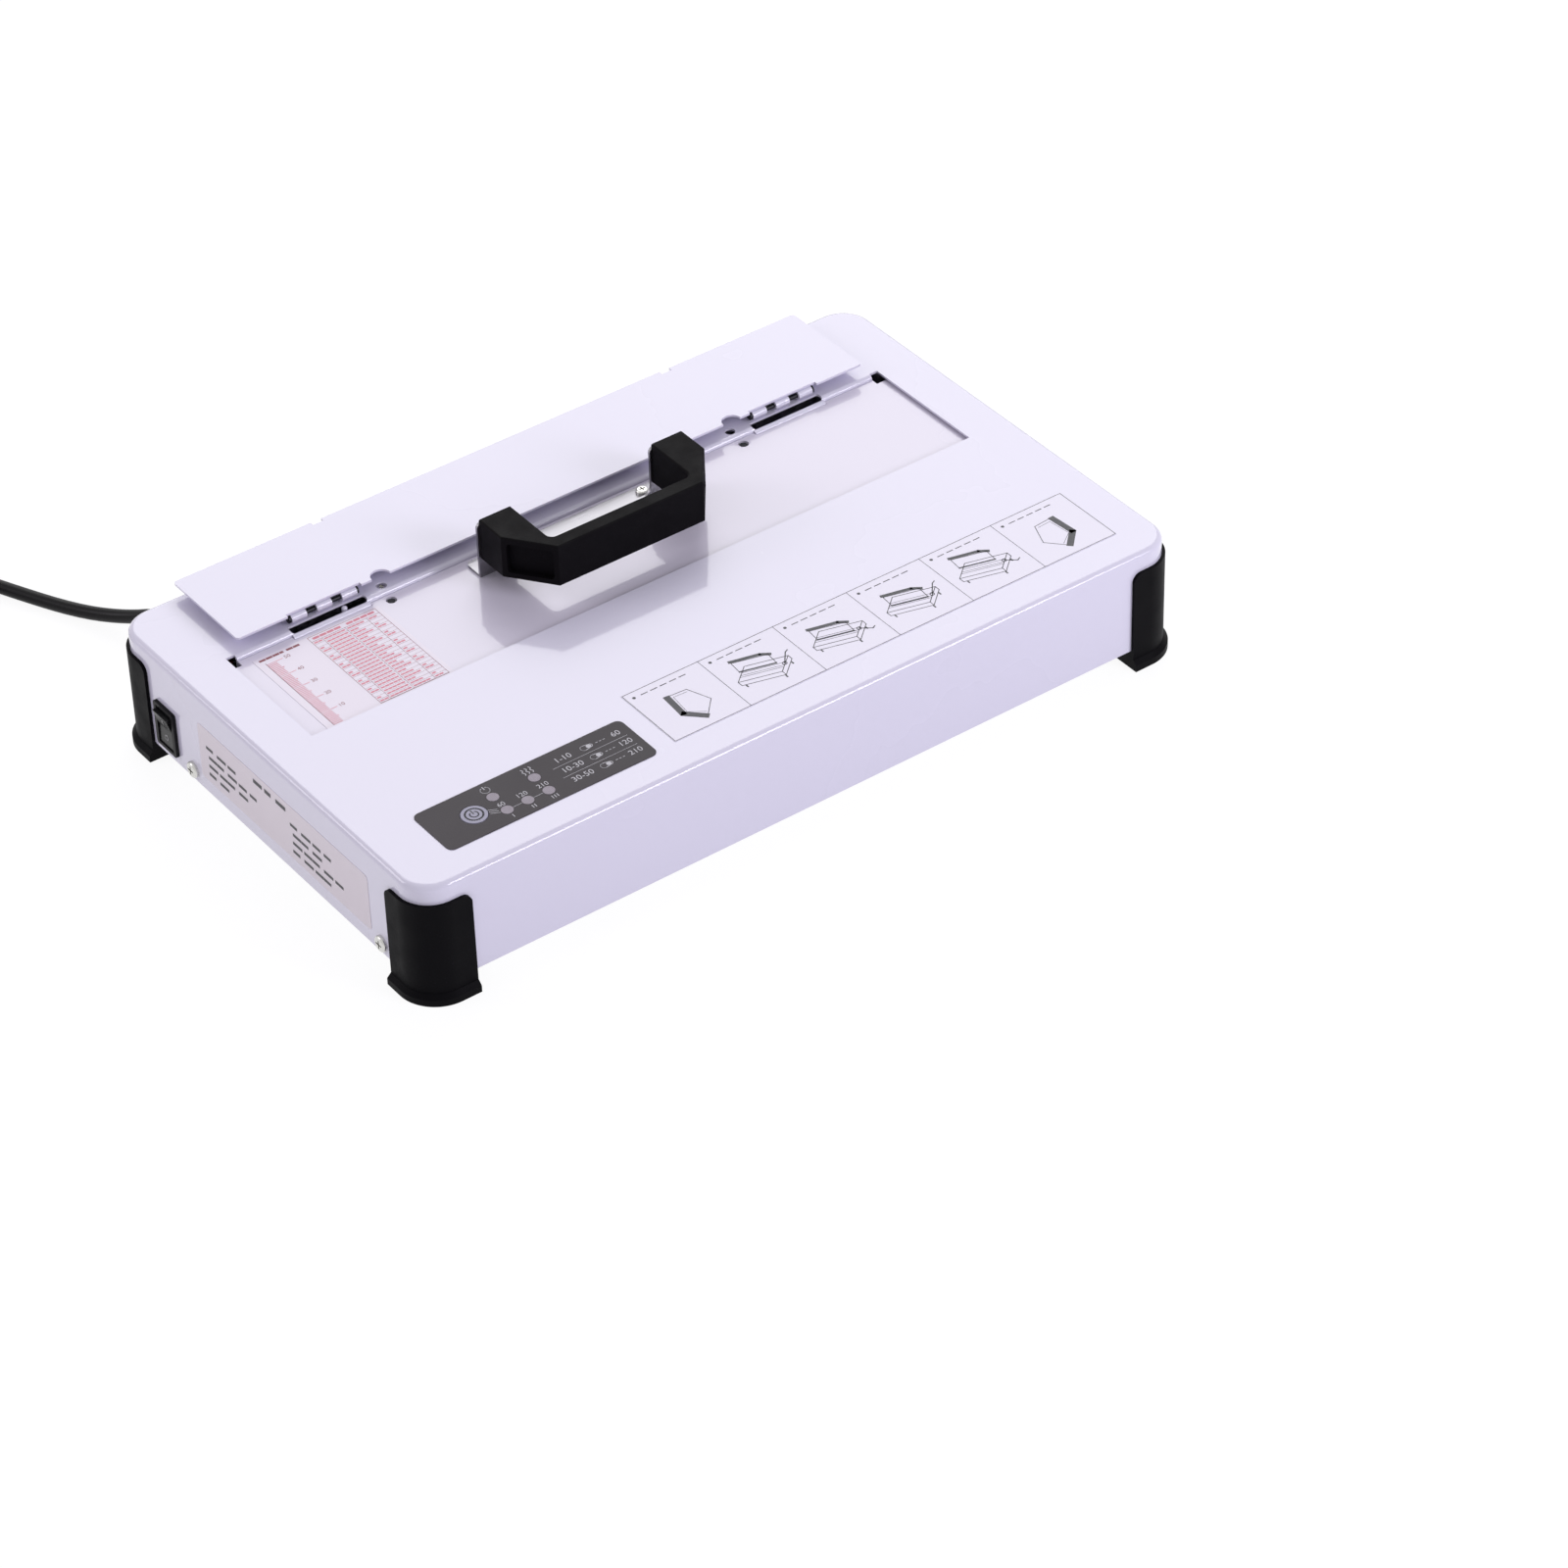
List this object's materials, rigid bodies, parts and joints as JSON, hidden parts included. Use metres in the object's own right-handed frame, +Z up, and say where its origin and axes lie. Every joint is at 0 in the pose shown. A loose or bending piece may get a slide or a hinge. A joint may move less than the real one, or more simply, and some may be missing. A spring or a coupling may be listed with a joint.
{
  "type": "binding machine",
  "caption": "Thermal binding machine: sheet-metal case, a handle panel that slides to open the binding slot, a hinged document rest, key, rocker switch and coiled mains cord.",
  "frame": {"origin": "middle of the casing on the surface that the feet stand on", "axes": "+X to the right along the binding slot, +Y to the back where the cord leaves, +Z up"},
  "size_m": [0.4749, 0.5363, 0.083],
  "materials": {
    "white_coat": "glossy powder coat",
    "zinc_steel": "zinc-plated sheet",
    "bracket_steel": "powder-coated sheet",
    "bright_screws": "nickel-plated",
    "bar_aluminium": "milled",
    "black_plastic": "fine grain",
    "foot_rubber": "matt",
    "cord_black": "satin",
    "tie_plastic": "satin",
    "mat_silicone": "silicone rubber",
    "insulation": "fibre board",
    "thermostat_body": "moulded",
    "board_green": "solder resist",
    "nylon_white": "nylon",
    "lamp_plastic": "frosted",
    "key_plastic": "satin",
    "brass_tabs": "bare",
    "wire_pvc": "insulated wire",
    "overlay_film": "printed film",
    "strip_film": "printed film"
  },
  "bodies": {
    "chassis": {"base_plate": "zinc_steel", "board_connectors": "nylon_white", "board_pillars": "nylon_white", "buzzer": "black_plastic", "casing_screws": "bright_screws", "control_board": "board_green", "control_overlay": "overlay_film", "cord_coil": "cord_black", "cord_run": "cord_black", "cord_tail": "cord_black", "cord_tie": "tie_plastic", "deck_screw": "bright_screws", "flap_bumpers": "foot_rubber", "foot_front_left": "foot_rubber", "foot_front_right": "foot_rubber", "foot_rear_left": "foot_rubber", "foot_rear_right": "foot_rubber", "foot_screws": "bright_screws", "guide_rods": "bright_screws", "heater_channels": "zinc_steel", "heater_mat": "mat_silicone", "heater_screws": "bright_screws", "heating_bar": "bar_aluminium", "hinge_fixed_leaves": "zinc_steel", "hinge_pins": "bright_screws", "hinge_rivets": "white_coat", "indicator_lamps": "lamp_plastic", "inner_wiring": "wire_pvc", "instruction_strip": "strip_film", "insulation_board": "insulation", "key_switch": "thermostat_body", "plug_body": "cord_black", "plug_pins": "bright_screws", "rating_sticker": "strip_film", "relay": "black_plastic", "return_springs": "zinc_steel", "rod_brackets": "zinc_steel", "slot_stud": "white_coat", "strain_relief": "foot_rubber", "switch_body": "black_plastic", "switch_terminals": "brass_tabs", "terminal_block": "black_plastic", "thermal_fuse": "thermostat_body", "thermostat": "thermostat_body", "top_casing": "white_coat"},
    "panel": {"sliding_panel": "white_coat", "moving_jaw": "zinc_steel", "jaw_screws": "bright_screws", "slide_blocks": "black_plastic", "panel_chart": "strip_film", "handle_bracket": "bracket_steel", "bracket_screws": "bright_screws", "handle": "black_plastic", "handle_screws": "bright_screws"},
    "flap": {"document_flap": "white_coat", "hinge_moving_leaves": "zinc_steel", "flap_rivets": "white_coat"},
    "power_key": {"power_key": "key_plastic"},
    "rocker": {"rocker": "black_plastic"}
  },
  "joints": [
    {"name": "panel_slide", "type": "slide", "parent": "chassis", "child": "panel", "axis": [0, -1, 0], "range_m": [0, 0.0474], "stiffness_N_per_m": 300, "springref_m": -0.04, "deforming": ["return_springs"]},
    {"name": "flap_hinge", "type": "hinge", "parent": "chassis", "child": "flap", "pos_m": [0, 0.0652, 0.0589], "axis": [1, 0, 0], "range_deg": [0, 88]},
    {"name": "power_key_press", "type": "slide", "parent": "chassis", "child": "power_key", "axis": [0, 0, -1], "range_m": [0, 0.0005], "stiffness_N_per_m": 600, "springref_m": -0.001},
    {"name": "rocker_tilt", "type": "hinge", "parent": "chassis", "child": "rocker", "pos_m": [-0.1835, 0.0755, 0.02375], "axis": [0, 1, 0], "range_deg": [0, 16]}
  ]
}
